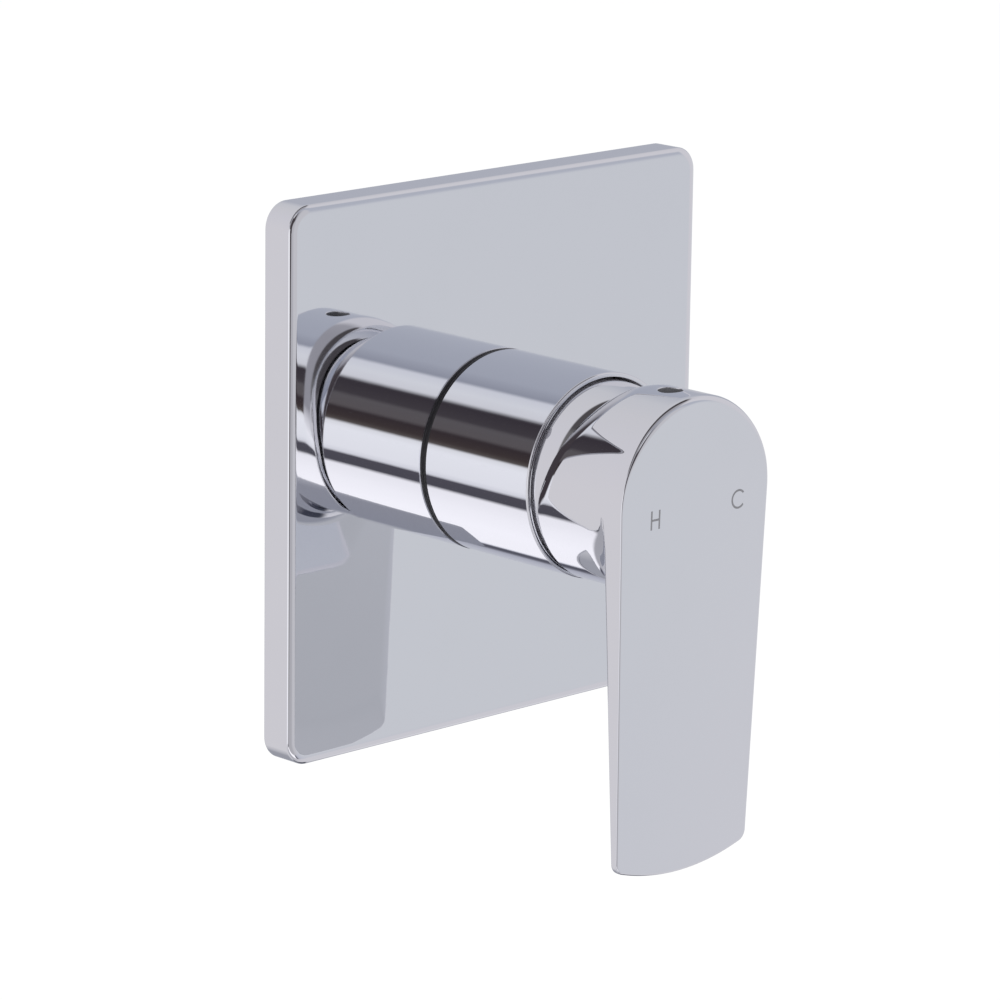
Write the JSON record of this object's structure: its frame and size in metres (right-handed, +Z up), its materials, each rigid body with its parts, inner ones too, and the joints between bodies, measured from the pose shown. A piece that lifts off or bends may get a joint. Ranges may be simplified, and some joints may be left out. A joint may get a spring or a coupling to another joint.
{
  "type": "wall shower mixer",
  "caption": "Concealed single lever shower mixer: square wall plate, round collar, paddle lever, in-wall brass body with ceramic disc cartridge.",
  "frame": {"origin": "centre of the wall plate's back face, on the cartridge axis, in the plane of the finished wall", "axes": "+X to the right as the user faces the wall, +Y into the wall, +Z up"},
  "size_m": [0.13, 0.1059, 0.153],
  "materials": {
    "chrome": "polished",
    "brass": "as cast and machined",
    "nut_brass": "machined",
    "rubber": "matt",
    "foam": "closed cell foam",
    "ceramic_white": "lapped ceramic",
    "plastic_grey": "moulded",
    "plastic_white": "moulded",
    "plastic_blue": "moulded",
    "steel": "bright",
    "zinc_chrome": "polished plating on a zinc casting",
    "grey_fill": "filled letter",
    "strainer": "woven"
  },
  "bodies": {
    "fixed": {"wall_plate": "chrome", "plate_gasket": "foam", "plate_o_ring": "rubber", "collar_seal": "rubber", "collar": "chrome", "collar_o_rings": "rubber", "dome_cap": "chrome", "mixer_body": "brass", "mounting_bracket": "steel", "bracket_screws": "steel", "bottom_plug": "nut_brass", "plug_washer": "rubber", "inlet_filters": "strainer", "cartridge_base": "plastic_white", "base_seals": "rubber", "disc_seals": "rubber", "fixed_disc": "ceramic_white", "friction_ring": "plastic_blue", "cartridge_housing": "plastic_grey", "cartridge_nut": "nut_brass"},
    "guide": {"stem_guide": "plastic_grey", "pivot_pin": "steel"},
    "lever": {"stem": "nut_brass", "lever_handle": "zinc_chrome", "grub_screw": "steel", "hot_mark": "grey_fill", "cold_mark": "grey_fill"},
    "disc": {"moving_disc": "ceramic_white", "disc_carrier": "plastic_white"}
  },
  "joints": [
    {"name": "temperature_turn", "type": "hinge", "parent": "fixed", "child": "guide", "pos_m": [0, -0.0415, 0], "axis": [0, 1, 0], "range_deg": [-50, 50]},
    {"name": "flow_tilt", "type": "hinge", "parent": "guide", "child": "lever", "pos_m": [0, -0.0415, 0], "axis": [-1, 0, 0], "range_deg": [0, 20]},
    {"name": "disc_slide", "type": "slide", "parent": "guide", "child": "disc", "axis": [0, 0, -1], "range_m": [0, 0.0042]}
  ],
  "couplings": [
    {"joint": "disc_slide", "follows": "flow_tilt", "m_per_rad": 0.0119}
  ]
}
